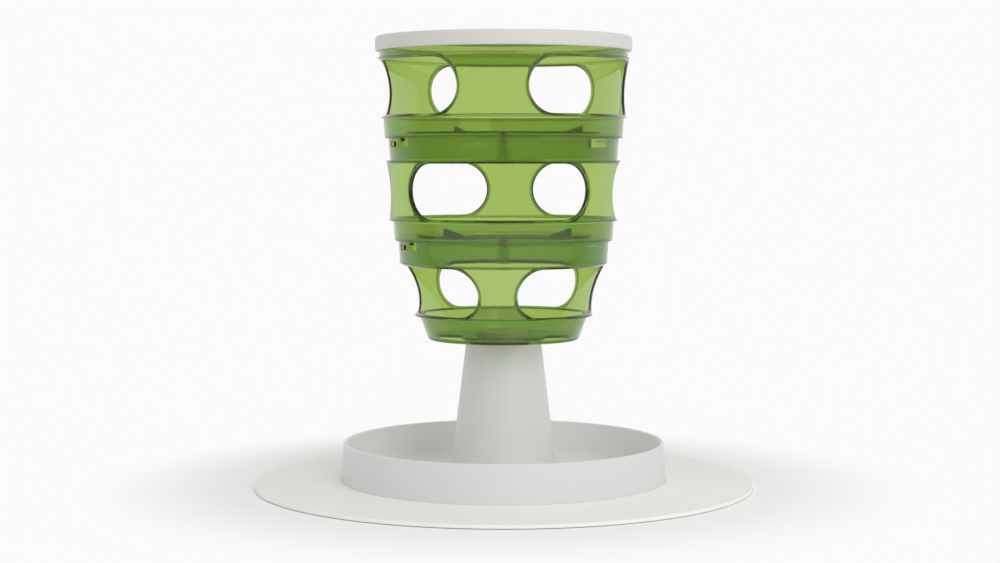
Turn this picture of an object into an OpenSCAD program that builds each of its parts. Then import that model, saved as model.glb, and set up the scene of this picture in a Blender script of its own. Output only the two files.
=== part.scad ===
// Three-tier puzzle feeder for cats
// A stack of green see-through tiers with paw windows stands on a white stem in a ring dish.
// Dry food goes in at the top and drops from tier to tier through the floor openings.
// Millimetres, +Z up, front is -Y, origin at the bottom centre.

/* [Base plate and dish] */
// Diameter of the base plate
plate_d = 350; // [300:1:420]
// Thickness of the base plate at its rim
plate_rim_t = 2.4; // [1.8:0.1:4]
// Rise of the plate's top from its rim to the dish
plate_rise = 1.6; // [0.5:0.1:4]
// Thickness of the plate's floor under the dish
plate_floor_t = 2.5; // [1.6:0.1:3]
// Outer diameter of the dish at its foot
dish_d = 228.2; // [200:0.2:260]
// Height of the dish from its underside to its rim
dish_h = 28; // [18:0.5:45]
// Wall thickness of the dish
dish_wall = 2.4; // [1.6:0.1:4]
// Distance that the dish wall leans in at the rim
dish_lean = 1.6; // [0:0.1:4]
// Radius between the dish floor and its wall
dish_corner_r = 6; // [2:0.5:10]
// Height of the screw hub in the middle of the dish, above its floor
hub_h = 6.6; // [5:0.1:10]
// Outer radius of the plate's part of the hub
hub_r = 27.6; // [25:0.1:29]

/* [Rubber feet] */
// Number of rubber feet
foot_n = 6; // [3:1:12]
// Diameter of a rubber foot
foot_d = 16; // [8:0.5:20]
// Height that a foot stands out below the plate
foot_out = 0.5; // [0.4:0.1:3]
// Depth that a foot sits in the plate
foot_in = 0.9; // [0.4:0.1:1.2]
// Distance from the plate's edge to the middle of a foot
foot_inset = 16; // [12:0.5:40]

/* [Stem] */
// Height of the tiers' seat above the table
seat_h = 103; // [80:0.5:140]
// Outer radius of the stem just under the bottom tier
stem_top_r = 26.2; // [22:0.2:28]
// Outer radius of the stem at its foot, before the flare
stem_foot_r = 37.6; // [36:0.2:48]
// Radius of the flare at the stem's foot
stem_flare_r = 3; // [1:0.5:8]
// Wall thickness of the stem
stem_wall = 2.6; // [2:0.1:4]
// Radius of the round spigot on top of the stem
spigot_r = 17.7; // [14:0.1:20]
// Length that the spigot's lugs stand out
spigot_lug = 4.3; // [3:0.1:5]
// Height of the spigot's lugs
spigot_lug_h = 3; // [2:0.1:5]

/* [Screws] */
// Number of screws that hold plate, dish and stem together
screw_n = 3; // [3:1:4]
// Distance of the screws from the middle
screw_pitch_r = 17; // [15:0.5:20]
// Diameter of a screw's shank
screw_d = 3; // [2.5:0.1:4]
// Length of a screw under its head
screw_l = 15; // [12:0.5:20]
// Diameter of a screw's head
screw_head_d = 6; // [5:0.1:8]
// Height of a screw's head
screw_head_h = 2; // [1.5:0.1:2.6]
// Diameter of the drive recess in a screw's head
screw_drive_d = 2.6; // [1.5:0.1:3.5]
// Outer diameter of the screw bosses in the stem
boss_d = 8.4; // [6.5:0.1:10]

/* [Tiers] */
// Wall thickness of the skirts, the bowl and the top rim
wall = 2.2; // [1.6:0.1:3]
// Wall thickness of the bands
band_wall = 2.4; // [2:0.1:3]
// Wall thickness of the necks
neck_wall = 3.3; // [2.4:0.1:4]
// Gap between a neck and the skirt round it
fit = 0.35; // [0.3:0.05:0.8]
// Height of the bowl under the bottom tier's band
bowl_h = 16.8; // [12:0.2:30]
// Outer radius of the bowl at its foot
bowl_foot_r = 52.7; // [50.5:0.1:56]
// Radius that the bowl gains from its foot to its band
bowl_flare = 6.2; // [4:0.1:9]
// Height of the bottom tier's band
low_band_h = 37.2; // [30:0.2:45]
// Width of the shoulder under the bottom tier's band
low_shoulder = 3.5; // [2:0.1:5]
// Radius that the bottom tier's band gains from its lower to its upper edge
low_band_flare = 10.6; // [7:0.1:13]
// Width of the ledge between the bottom tier's band and its neck
low_ledge = 0.4; // [0.3:0.1:3]
// Height of the bands of the middle and top tiers
band_h = 41.8; // [34:0.2:50]
// Height of the slope inside a band at each of its edges
band_step = 1.7; // [1.2:0.1:2.4]
// Width of the shoulder under the middle tier's band
middle_shoulder = 2.7; // [1:0.1:4]
// Width of the ledge between the middle tier's band and its neck
middle_ledge = 2.6; // [0.4:0.1:4]
// Width of the shoulder under the top tier's band
top_shoulder = 1.7; // [1:0.1:4]
// Height of a neck that shows between two tiers
neck_h = 15.2; // [12:0.2:22]
// Height of a skirt
skirt_h = 14; // [11:0.2:20]
// Radius that a skirt or neck loses for each millimetre downwards
draft = 0.07; // [0.02:0.01:0.12]
// Radius that a band loses for each millimetre downwards
band_draft = 0.05; // [0.02:0.01:0.1]
// Height of the top rim that shows under the lid
rim_h = 4.7; // [3:0.1:8]

/* [Windows] */
// Number of windows in a tier
window_n = 3; // [2:1:3]
// Half the angle of a top window, from its middle to its end
top_window_a = 44.2; // [34:0.2:50]
// Angle that the top windows are turned from the middle between two posts
top_window_turn = -1.5; // [-4:0.5:4]
// Half the angle of a middle window
middle_window_a = 48.2; // [38:0.2:52]
// Half the angle of a bottom window
bottom_window_a = 49; // [38:0.2:52]
// Height of band left above and below a window
window_edge = 0.5; // [0.3:0.1:3]
// Height that a window loses at each edge through the wall
window_bevel = 1.8; // [0.5:0.1:2.4]

/* [Floors and gates] */
// Thickness of a floor
floor_t = 1.6; // [1.4:0.1:2.4]
// Gap between a floor's edge and the skirt
floor_fit = 0.15; // [0.1:0.05:0.3]
// Thickness of the ledge that a floor rests on
ledge_t = 1; // [0.8:0.1:1.6]
// Width of the ledge that a floor rests on
ledge_w = 2.6; // [2:0.1:4]
// Half the angle of a drop opening
drop_a = 44; // [30:1:50]
// Angle from the front to the middle of the middle tier's drop opening
middle_drop_a = 7.2; // [0:0.2:20]
// Angle from the front to the middle of the top tier's drop opening
top_drop_a = 170.6; // [160:0.2:200]
// Inner radius of a drop opening
drop_in_r = 16; // [13:0.5:22]
// Width of the gate's rim outside the drop opening
gate_rim = 7; // [5:0.5:10]
// Width of floor outside the gate
gate_margin = 13; // [11:0.5:18]
// Thickness of a gate
gate_t = 1.2; // [1:0.1:2]
// Gap between a gate and the floor under it
gate_gap = 0.3; // [0.2:0.05:0.5]
// Depth of the lip under a drop opening
lip_h = 2.6; // [1.6:0.2:8]
// Thickness of the lip
lip_wall = 1.8; // [1.4:0.1:2.6]
// Angle that the lip's sides stand outside the drop opening
lip_side_a = 2.4; // [1.5:0.1:4]
// Diameter of the pivot boss under a floor
pivot_boss_d = 10.6; // [9.5:0.1:13]
// Length of the pivot boss under a floor
pivot_boss_l = 16.5; // [12:0.5:18]
// Diameter of a gate's pivot pin
pivot_d = 6; // [4:0.1:6.4]
// Diameter of the bore in a gate's pivot pin
pivot_bore_d = 3.2; // [2:0.1:3.6]
// Gap round a gate's pivot pin
pivot_gap = 0.3; // [0.3:0.05:0.5]
// Height of a gate's finger fins
fin_h = 5.4; // [3:0.1:8]
// Length of a gate's finger fins
fin_l = 20; // [12:0.5:26]
// Thickness of a gate's finger fins
fin_t = 2.2; // [1.4:0.1:3]
// Number of drop openings in the bottom tier's floor
bowl_drop_n = 3; // [2:1:3]
// Half the angle of a drop opening in the bottom tier's floor
bowl_drop_a = 36; // [24:1:42]
// Width of floor between the notches for the stem's lugs and those drop openings
bowl_drop_hub = 6.7; // [5.5:0.1:8]
// Width of floor outside those drop openings
bowl_drop_rim = 3.5; // [3:0.1:6]

/* [Twist locks] */
// Height of a lock slot
slot_h = 3.6; // [3:0.1:5]
// Depth of a lock slot's middle below the skirt above it
slot_drop = 4; // [3.6:0.1:6]
// Angle of a lock slot's way in
slot_in_a = 6.8; // [6:0.1:10]
// Angle from a slot's closed end to the far side of its way in
slot_a = 22; // [18:0.5:30]
// Angle from the front to the near side of a slot's way in
slot_front_a = 50.4; // [40:0.2:60]
// Angle of a lock lug
lug_a = 5; // [3:0.1:5.4]
// Gap round a lock lug
lug_gap = 0.4; // [0.3:0.05:0.6]
// Thickness of the tongues that carry the lugs
tongue_t = 2; // [1.6:0.1:3]
// Angle of the tongues that carry the lugs
tongue_a = 9; // [6:0.5:14]
// Angle of a lug on the stem's spigot
stem_lug_a = 16; // [10:1:24]
// Angle from such a lug to its way in through the bowl's floor
stem_twist_a = 28; // [25:1:40]

/* [Lid] */
// Distance that the top rim stands inside the upper edge of the top tier's band
rim_step = 1.1; // [0.4:0.1:1.8]
// Height of the lid
lid_h = 10.2; // [7:0.2:16]
// Thickness of the lid
lid_t = 2.4; // [1.6:0.1:4]
// Radius of the lid's upper edge
lid_edge_r = 2.2; // [0.8:0.1:3]
// Radius of the lid's lower edge
lid_foot_r = 1.4; // [0.6:0.1:2]
// Gap between the lid and the top rim
lid_fit = 0.4; // [0.3:0.05:1]
// Depth of the ring under the lid that sits inside the top rim
lid_ring_h = 4; // [2:0.5:8]

/* [Hidden] */
$fn = 96;
eps = 0.01;
end_step = 0.1;
end_spin_a = 30;
slot_trim_a = 0.2;
turn = 360;
half_turn = 180;
quarter = 90;
plate_r = plate_d / 2;
plate_z = foot_out;
plate_rim_z = plate_z + plate_rim_t;
plate_top_z = plate_rim_z + plate_rise;
dish_z = plate_z + plate_floor_t;
dish_r = dish_d / 2;
dish_floor_z = dish_z + dish_wall;
dish_rim_z = dish_z + dish_h;
dish_gap = 0.2;
hub_gap = 0.15;
plate_hub_z = dish_floor_z + hub_h - dish_wall;
dish_hub_z = dish_floor_z + hub_h;
dish_hub_r = hub_r + hub_gap + dish_wall;
rim_round = 0.9;
rim_foot_round = 0.4;
edge_round = 1.0;
stem_cone_z = dish_floor_z + stem_flare_r;
stem_cap_t = 3;
spigot_gap = 0.35;
spigot_lift = 0.4;
bowl_floor_z = seat_h + wall;
spigot_lug_z = bowl_floor_z + spigot_lift;
spigot_top_z = spigot_lug_z + spigot_lug_h;
stem_notch_a = stem_lug_a + 4;
boss_l = screw_l - 2;
rib_t = 2;
low_band_z = seat_h + bowl_h;
low_neck_z = low_band_z + low_band_h;
middle_z = low_neck_z + neck_h;
middle_band_z = middle_z + skirt_h;
middle_neck_z = middle_band_z + band_h;
top_z = middle_neck_z + neck_h;
top_band_z = top_z + skirt_h;
top_rim_z = top_band_z + band_h;
lid_z = top_rim_z + rim_h;
lid_top_z = lid_z + lid_h;
rim_top_z = lid_top_z - lid_t;
bowl_top_r = bowl_foot_r + bowl_flare;
low_band_foot_r = bowl_top_r + low_shoulder;
low_band_r = low_band_foot_r + low_band_flare;
low_neck_foot_r = low_band_r - low_ledge;
low_neck_r = low_neck_foot_r + draft * neck_h;
middle_skirt_foot_r = low_neck_r + fit + wall;
middle_skirt_r = middle_skirt_foot_r + draft * skirt_h;
middle_band_foot_r = middle_skirt_r + middle_shoulder;
middle_band_r = middle_band_foot_r + band_draft * band_h;
middle_neck_foot_r = middle_band_r - middle_ledge;
middle_neck_r = middle_neck_foot_r + draft * neck_h;
top_skirt_foot_r = middle_neck_r + fit + wall;
top_skirt_r = top_skirt_foot_r + draft * skirt_h;
top_band_foot_r = top_skirt_r + top_shoulder;
top_band_r = top_band_foot_r + band_draft * band_h;
rim_r = top_band_r - rim_step;
lid_r = rim_r + lid_fit + lid_t;
seat_gap = 0.3;
front_a = -quarter;
window_step = turn / window_n;
lock_n = 2;
lock_step = turn / lock_n;
slot_left_a = front_a - slot_front_a - slot_a;
lug_side_a = (slot_in_a - lug_a) / 2;
stem_notch_r = spigot_r + spigot_lug + 2 * lug_gap;
bowl_drop_in_r = stem_notch_r + bowl_drop_hub;
bowl_drop_out_r = bowl_foot_r - wall - bowl_drop_rim;

// Points along a round edge, with angles in degrees
function arc(r, z, rad, a0, a1, n = 6) =
    [for (i = [0 : n]) [r + rad * cos(a0 + (a1 - a0) * i / n), z + rad * sin(a0 + (a1 - a0) * i / n)]];

// Upper and lower corner of a band's inside, which keeps its wall thickness behind the bulge
function band_inside(r_low, r_high, z_low, z_high) =
    let (lean = (r_high - r_low) / (z_high - z_low))
    [[r_high - lean * band_step - band_wall, z_high - band_step],
     [r_low + lean * band_step - band_wall, z_low + band_step]];

// A piece of ring between two radii, two heights and two angles
module sector(r0, r1, z0, z1, a0, a1) {
    rotate([0, 0, a0])
        rotate_extrude(angle = a1 - a0)
            translate([r0, z0])
                square([r1 - r0, z1 - z0]);
}

// Cuts the round-ended windows of one tier, square to its leaning wall and wider outside than inside
module with_windows(r_low, r_high, z_low, z_high, half_a, first_a) {
    tilt = atan((r_high - r_low) / (z_high - z_low));
    slope = window_bevel / (band_wall * cos(tilt));
    half = (z_high - z_low) / cos(tilt) / 2 - window_edge;
    reach = 4 * wall;
    h_in = half - slope * reach;
    h_out = half + slope * reach;
    end_in = half - end_step - slope * (reach + wall);
    end_out = half - end_step + slope * (reach + wall);
    r_mid = (r_low + r_high) / 2;
    z_mid = (z_low + z_high) / 2;
    side_a = half_a - asin(half / r_mid);
    difference() {
        difference() {
            children();
            for (i = [0 : window_n - 1])
                rotate([0, 0, front_a + first_a + i * window_step - side_a])
                    rotate_extrude(angle = 2 * side_a)
                        translate([r_mid, z_mid])
                            rotate(-tilt)
                                polygon([[-reach, -h_in], [reach, -h_out], [reach, h_out], [-reach, h_in]]);
        }
        for (i = [0 : window_n - 1], side = [-1, 1])
            rotate([0, 0, front_a + first_a + i * window_step + side * side_a])
                translate([r_mid, 0, z_mid])
                    rotate([0, quarter + tilt, 0])
                        rotate([0, 0, -side * end_spin_a])
                            cylinder(h = 2 * (reach + wall), r1 = end_in, r2 = end_out, center = true);
    }
}

// The two bent slots in a neck that take the lugs of the tier above
module lock_slots(neck_r, skirt_z) {
    z_mid = skirt_z - slot_drop;
    for (i = [0 : lock_n - 1])
        rotate([0, 0, i * lock_step]) {
            sector(neck_r - 3 * neck_wall, neck_r + neck_wall, z_mid - slot_h / 2, z_mid + slot_h / 2,
                   slot_left_a, slot_left_a + slot_a - slot_trim_a);
            sector(neck_r - 2 * neck_wall, neck_r + 2 * neck_wall, z_mid, skirt_z + wall,
                   slot_left_a + slot_a - slot_in_a, slot_left_a + slot_a);
        }
}

// Floor plate with lipped drop opening, pivot boss and the two tongues with lock lugs
module tier_floor(skirt_foot_r, skirt_z, drop_mid_a) {
    z0 = skirt_z + seat_gap + ledge_t;
    r0 = skirt_foot_r + draft * (z0 - skirt_z) - wall - floor_fit;
    neck_r = skirt_foot_r - wall - fit;
    drop_r = r0 - gate_margin - gate_rim;
    lug_z = skirt_z - slot_drop;
    tongue_r = neck_r - draft * neck_h - neck_wall - lug_gap;
    lug_end_a = slot_left_a + lug_side_a;
    difference() {
        union() {
            translate([0, 0, z0])
                cylinder(h = floor_t, r = r0);
            translate([0, 0, z0 - pivot_boss_l])
                cylinder(h = pivot_boss_l + eps, d = pivot_boss_d);
            sector(drop_in_r - lip_wall, drop_r + lip_wall, z0 - lip_h, z0 + eps,
                   drop_mid_a - drop_a - lip_side_a, drop_mid_a + drop_a + lip_side_a);
            for (i = [0 : lock_n - 1])
                rotate([0, 0, i * lock_step]) {
                    sector(tongue_r - tongue_t, tongue_r, lug_z - slot_h / 2, z0 + eps,
                           lug_end_a + lug_a / 2 - tongue_a / 2, lug_end_a + lug_a / 2 + tongue_a / 2);
                    sector(tongue_r - tongue_t / 2, neck_r - lug_gap, lug_z - slot_h / 2 + lug_gap,
                           lug_z + slot_h / 2 - lug_gap, lug_end_a, lug_end_a + lug_a);
                }
        }
        sector(drop_in_r, drop_r, z0 - lip_h - 1, z0 + floor_t + 1, drop_mid_a - drop_a, drop_mid_a + drop_a);
        translate([0, 0, z0 - pivot_boss_l - 1])
            cylinder(h = pivot_boss_l + floor_t + 2, d = pivot_d + 2 * pivot_gap);
    }
}

// Turning gate with its pivot pin and two finger fins, lying on a floor
module tier_gate(skirt_foot_r, skirt_z, drop_mid_a) {
    z0 = skirt_z + seat_gap + ledge_t;
    z1 = z0 + floor_t + gate_gap;
    gate_r = skirt_foot_r + draft * (z0 - skirt_z) - wall - floor_fit - gate_margin;
    difference() {
        union() {
            translate([0, 0, z1])
                cylinder(h = gate_t, r = gate_r);
            translate([0, 0, z0 - pivot_boss_l])
                cylinder(h = pivot_boss_l + floor_t + gate_gap + eps, d = pivot_d);
        }
        sector(drop_in_r, gate_r - gate_rim, z1 - 1, z1 + gate_t + 1, drop_mid_a - drop_a, drop_mid_a + drop_a);
        translate([0, 0, z0 - pivot_boss_l - 1])
            cylinder(h = pivot_boss_l + floor_t + gate_gap + 1, d = pivot_bore_d);
    }
    for (side = [-1, 1])
        rotate([0, 0, drop_mid_a + side * drop_a])
            translate([gate_r - fin_l, side > 0 ? 0 : fin_t * side, z1 + gate_t - eps])
                rotate([quarter, 0, 0])
                    mirror([0, 0, 1])
                        linear_extrude(fin_t)
                            polygon([[0, 0], [fin_l - 1, 0], [fin_l - 1, fin_h]]);
}

module base_plate() {
    color("WhiteSmoke")
        difference() {
            rotate_extrude()
                polygon(concat(
                    [[0, plate_hub_z - plate_floor_t], [0, plate_hub_z], [hub_r, plate_hub_z], [hub_r, dish_z],
                     [dish_r + dish_gap, dish_z], [dish_r + dish_gap, plate_top_z]],
                    arc(plate_r - rim_round, plate_rim_z - rim_round, rim_round, quarter, 0),
                    arc(plate_r - rim_foot_round, plate_z + rim_foot_round, rim_foot_round, 0, -quarter),
                    [[hub_r - plate_floor_t, plate_z], [hub_r - plate_floor_t, plate_hub_z - plate_floor_t]]));
            for (i = [0 : foot_n - 1])
                rotate([0, 0, (i + 1 / 2) * turn / foot_n])
                    translate([plate_r - foot_inset, 0, plate_z - 1])
                        cylinder(h = foot_in + 1, d = foot_d + 2 * hub_gap);
            for (i = [0 : screw_n - 1])
                rotate([0, 0, i * turn / screw_n])
                    translate([screw_pitch_r, 0, plate_z])
                        cylinder(h = plate_hub_z, d = screw_d + 2 * hub_gap);
        }
}

module rubber_feet() {
    color("DimGray")
        for (i = [0 : foot_n - 1])
            rotate([0, 0, (i + 1 / 2) * turn / foot_n])
                translate([plate_r - foot_inset, 0, 0])
                    cylinder(h = foot_out + foot_in, d = foot_d);
}

module dish() {
    rim_in_r = dish_r - dish_lean - dish_wall;
    floor_in_r = dish_r - dish_wall;
    color("Gainsboro")
        difference() {
            rotate_extrude()
                polygon(concat(
                    [[0, plate_hub_z], [0, dish_hub_z], [dish_hub_r, dish_hub_z], [dish_hub_r, dish_floor_z]],
                    arc(floor_in_r - dish_corner_r, dish_floor_z + dish_corner_r, dish_corner_r, -quarter, 0),
                    arc(rim_in_r + dish_wall / 2, dish_rim_z - dish_wall / 2, dish_wall / 2, half_turn, 0, 10),
                    [[dish_r, plate_top_z], [dish_r, dish_z], [hub_r + hub_gap, dish_z],
                     [hub_r + hub_gap, plate_hub_z]]));
            for (i = [0 : screw_n - 1])
                rotate([0, 0, i * turn / screw_n])
                    translate([screw_pitch_r, 0, dish_z])
                        cylinder(h = dish_hub_z, d = screw_d + 2 * hub_gap);
        }
}

module stem() {
    foot_in_r = stem_foot_r - stem_wall;
    cap_z = seat_h - stem_cap_t;
    color("WhiteSmoke")
        difference() {
            union() {
                rotate_extrude()
                    polygon(concat(
                        [[foot_in_r, dish_floor_z], [stem_foot_r + stem_flare_r, dish_floor_z]],
                        arc(stem_foot_r + stem_flare_r, stem_cone_z, stem_flare_r, -quarter, -half_turn),
                        arc(stem_top_r - edge_round, seat_h - edge_round, edge_round, 0, quarter),
                        [[spigot_r, seat_h], [spigot_r, spigot_top_z], [0, spigot_top_z],
                         [0, cap_z], [stem_top_r - stem_wall, cap_z], [foot_in_r, stem_cone_z]]));
                for (i = [0 : lock_n - 1])
                    rotate([0, 0, front_a + i * lock_step])
                        sector(spigot_r - 1, spigot_r + spigot_lug, spigot_lug_z, spigot_top_z,
                               -stem_lug_a / 2, stem_lug_a / 2);
                for (i = [0 : screw_n - 1])
                    rotate([0, 0, i * turn / screw_n]) {
                        translate([screw_pitch_r, 0, dish_hub_z])
                            cylinder(h = boss_l, d = boss_d);
                        translate([screw_pitch_r, -rib_t / 2, dish_hub_z])
                            cube([foot_in_r - screw_pitch_r, rib_t, boss_l]);
                    }
            }
            for (i = [0 : screw_n - 1])
                rotate([0, 0, i * turn / screw_n])
                    translate([screw_pitch_r, 0, dish_hub_z - 1])
                        cylinder(h = boss_l, d = screw_d);
        }
}

module stem_screws() {
    head_z = plate_hub_z - plate_floor_t;
    color("Silver")
        for (i = [0 : screw_n - 1])
            rotate([0, 0, i * turn / screw_n])
                translate([screw_pitch_r, 0, 0])
                    difference() {
                        union() {
                            translate([0, 0, head_z - screw_head_h])
                                cylinder(h = screw_head_h, d = screw_head_d);
                            translate([0, 0, head_z - eps])
                                cylinder(h = screw_l, d = screw_d - 2 * eps);
                        }
                        translate([0, 0, head_z - screw_head_h - 1])
                            cylinder(h = screw_head_h / 2 + 1, d = screw_drive_d, $fn = 24);
                    }
}

module bottom_tier() {
    color("YellowGreen")
        difference() {
            with_windows(low_band_foot_r, low_band_r, low_band_z, low_neck_z, bottom_window_a, window_step / 2)
                rotate([0, 0, front_a])
                    rotate_extrude()
                        polygon(concat(
                            [[spigot_r + spigot_gap, seat_h]],
                            arc(bowl_foot_r - edge_round, seat_h + edge_round, edge_round, -quarter, -20, 4),
                            [[bowl_top_r, low_band_z], [low_band_foot_r, low_band_z], [low_band_r, low_neck_z],
                             [low_neck_foot_r, low_neck_z], [low_neck_r, middle_z],
                             [low_neck_r - neck_wall, middle_z], [low_neck_foot_r - neck_wall, low_neck_z]],
                            band_inside(low_band_foot_r, low_band_r, low_band_z, low_neck_z),
                            [[bowl_top_r - wall, low_band_z], [bowl_foot_r - wall, bowl_floor_z],
                             [spigot_r + spigot_gap, bowl_floor_z]]));
            lock_slots(low_neck_r, middle_z);
            for (i = [0 : lock_n - 1])
                rotate([0, 0, front_a + i * lock_step - stem_twist_a])
                    sector(spigot_r - 1, stem_notch_r, seat_h - 1, bowl_floor_z + 1,
                           -stem_notch_a / 2, stem_notch_a / 2);
            for (i = [0 : bowl_drop_n - 1])
                rotate([0, 0, front_a + (i + 1 / 2) * turn / bowl_drop_n])
                    sector(bowl_drop_in_r, bowl_drop_out_r, seat_h - 1, bowl_floor_z + 1,
                           -bowl_drop_a, bowl_drop_a);
        }
}

module middle_floor() {
    color("OliveDrab")
        tier_floor(middle_skirt_foot_r, middle_z, front_a + middle_drop_a);
}

module middle_gate() {
    color("DarkOliveGreen")
        tier_gate(middle_skirt_foot_r, middle_z, front_a + middle_drop_a);
}

module middle_tier() {
    ledge_z = middle_z + seat_gap;
    ledge_r = middle_skirt_foot_r + draft * seat_gap - wall;
    shelf_r = ledge_r + draft * ledge_t;
    color("YellowGreen")
        difference() {
            with_windows(middle_band_foot_r, middle_band_r, middle_band_z, middle_neck_z, middle_window_a, 0)
                rotate([0, 0, front_a + window_step / 2])
                    rotate_extrude()
                        polygon(concat(
                            [[middle_skirt_foot_r, middle_z], [middle_skirt_r, middle_band_z],
                             [middle_band_foot_r, middle_band_z], [middle_band_r, middle_neck_z],
                             [middle_neck_foot_r, middle_neck_z], [middle_neck_r, top_z],
                             [middle_neck_r - neck_wall, top_z], [middle_neck_foot_r - neck_wall, middle_neck_z]],
                            band_inside(middle_band_foot_r, middle_band_r, middle_band_z, middle_neck_z),
                            [[middle_skirt_r - wall, middle_band_z],
                             [shelf_r, ledge_z + ledge_t], [ledge_r - ledge_w, ledge_z + ledge_t],
                             [ledge_r - ledge_w, ledge_z], [ledge_r, ledge_z],
                             [middle_skirt_foot_r - wall, middle_z]]));
            lock_slots(middle_neck_r, top_z);
        }
}

module top_floor() {
    color("OliveDrab")
        tier_floor(top_skirt_foot_r, top_z, front_a + top_drop_a);
}

module top_gate() {
    color("DarkOliveGreen")
        tier_gate(top_skirt_foot_r, top_z, front_a + top_drop_a);
}

module top_tier() {
    ledge_z = top_z + seat_gap;
    ledge_r = top_skirt_foot_r + draft * seat_gap - wall;
    shelf_r = ledge_r + draft * ledge_t;
    color("YellowGreen")
        with_windows(top_band_foot_r, top_band_r, top_band_z, top_rim_z, top_window_a,
                     window_step / 2 + top_window_turn)
            rotate([0, 0, front_a])
                rotate_extrude()
                    polygon(concat(
                        [[top_skirt_foot_r, top_z], [top_skirt_r, top_band_z], [top_band_foot_r, top_band_z],
                         [top_band_r, top_rim_z], [rim_r, top_rim_z], [rim_r, rim_top_z],
                         [rim_r - wall, rim_top_z], [rim_r - wall, top_rim_z]],
                        band_inside(top_band_foot_r, top_band_r, top_band_z, top_rim_z),
                        [[top_skirt_r - wall, top_band_z],
                         [shelf_r, ledge_z + ledge_t], [ledge_r - ledge_w, ledge_z + ledge_t],
                         [ledge_r - ledge_w, ledge_z], [ledge_r, ledge_z],
                         [top_skirt_foot_r - wall, top_z]]));
}

module lid() {
    ring_r = rim_r - wall - lid_fit;
    color("White")
        rotate_extrude()
            polygon(concat(
                [[0, rim_top_z], [0, lid_top_z]],
                arc(lid_r - lid_edge_r, lid_top_z - lid_edge_r, lid_edge_r, quarter, 0),
                arc(lid_r - lid_foot_r, lid_z + lid_foot_r, lid_foot_r, 0, -quarter, 4),
                [[lid_r - lid_t, lid_z], [lid_r - lid_t, rim_top_z], [ring_r, rim_top_z],
                 [ring_r, rim_top_z - lid_ring_h], [ring_r - lid_t, rim_top_z - lid_ring_h],
                 [ring_r - lid_t, rim_top_z]]));
}

base_plate();
rubber_feet();
dish();
stem();
stem_screws();
bottom_tier();
middle_floor();
middle_gate();
middle_tier();
top_floor();
top_gate();
top_tier();
lid();
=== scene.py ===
"""Looks of a three-tier cat puzzle feeder: see-through green tiers on a white stem, in a ring dish."""

import math

import bmesh
import bpy
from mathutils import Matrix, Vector


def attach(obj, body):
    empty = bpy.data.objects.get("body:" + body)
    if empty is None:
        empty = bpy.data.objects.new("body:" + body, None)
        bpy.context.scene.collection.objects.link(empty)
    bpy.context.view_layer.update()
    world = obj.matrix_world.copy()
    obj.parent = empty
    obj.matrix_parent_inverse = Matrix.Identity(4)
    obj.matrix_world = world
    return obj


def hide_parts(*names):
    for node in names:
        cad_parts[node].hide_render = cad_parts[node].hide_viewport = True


bl_info = {
    "name": "Cat puzzle feeder",
    "version": (1, 0, 0),
    "blender": (4, 5, 0),
    "location": "3D View > Sidebar > Feeder",
    "description": "Builds the see-through tiers, white plastics and studio of a cat puzzle feeder",
    "category": "Add Mesh",
}

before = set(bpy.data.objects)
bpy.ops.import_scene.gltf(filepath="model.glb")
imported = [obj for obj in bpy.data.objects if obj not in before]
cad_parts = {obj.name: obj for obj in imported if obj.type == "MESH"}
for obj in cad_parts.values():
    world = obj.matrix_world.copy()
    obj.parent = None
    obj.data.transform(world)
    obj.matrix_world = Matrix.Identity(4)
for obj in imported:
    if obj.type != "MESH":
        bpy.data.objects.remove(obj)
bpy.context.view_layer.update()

MM = 0.001
FRONT = -90.0
WINDOWS = 3
SECTOR = 360.0 / WINDOWS
LOCKS = 2
WALL, BAND_WALL, NECK_WALL = 2.2, 2.4, 3.3
BAND_STEP = 1.7

# Heights of the stack in millimetres, as in the solids
SEAT_Z = 103.0
LOW_BAND_Z = 119.8
LOW_NECK_Z = 157.0
MIDDLE_Z = 172.2
MIDDLE_BAND_Z = 186.2
MIDDLE_NECK_Z = 228.0
TOP_Z = 243.2
TOP_BAND_Z = 257.2
TOP_RIM_Z = 299.0
RIM_TOP_Z = 311.5

# Radii of the tiers in millimetres, as in the solids
BOWL_FOOT_R = 52.7
BOWL_TOP_R = 58.9
LOW_BAND_R = (62.4, 73.0)
LOW_NECK_R = (72.6, 73.664)
MIDDLE_SKIRT_R = (76.214, 77.194)
MIDDLE_BAND_R = (79.894, 81.984)
MIDDLE_NECK_R = (79.384, 80.448)
TOP_SKIRT_R = (82.998, 83.978)
TOP_BAND_R = (85.678, 87.768)
RIM_R = 86.668
BORE_R = 18.05

# Floor ledges, lock slots and the openings in the bowl's floor
LEDGE_LIFT, LEDGE_T, LEDGE_W, SKIRT_DRAFT = 0.3, 1.0, 2.6, 0.07
SLOT_DROP, SLOT_H = 4.0, 3.6
SLOT_LEFT, SLOT_WAY_IN, SLOT_RIGHT = -162.4, -147.2, -140.4
DROP_R, DROP_HALF_A = (29.5, 47.0), 36.0
NOTCH_R, NOTCH_A, NOTCH_HALF_A = 22.8, -118.0, 10.0

# Windows: half their angle in each tier, the top ones' turn, how they are cut, and room for their roundings
TOP_WINDOW_A, MIDDLE_WINDOW_A, BOTTOM_WINDOW_A = 44.2, 48.2, 49.0
TOP_WINDOW_TURN = -1.5
WINDOW_EDGE, WINDOW_BEVEL = 0.5, 1.8
BAND_TRIM = 0.22
EDGE_ROOM, IN_ROUND = 0.27, 1.2
LEAST_RISE, ROOM_SHARE, IN_SOFT_SHARE = 0.2, 0.9, 0.6

# Rows of faces from a band's outer edge over a window's edge to its inner edge, and how much painted shade
# each row gets
WALL_ROWS, WALL_CROWD, EDGE_STEPS = 7, 1.6, 6
EDGE_SHADES = (*[0.0] * 8, 0.8, 1.0, 0.9, 0.6, 0.5, 0.6, 0.9, 1.0, 1.0, 1.0, 0.9, 0.5, *[0.0] * 8)

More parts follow.
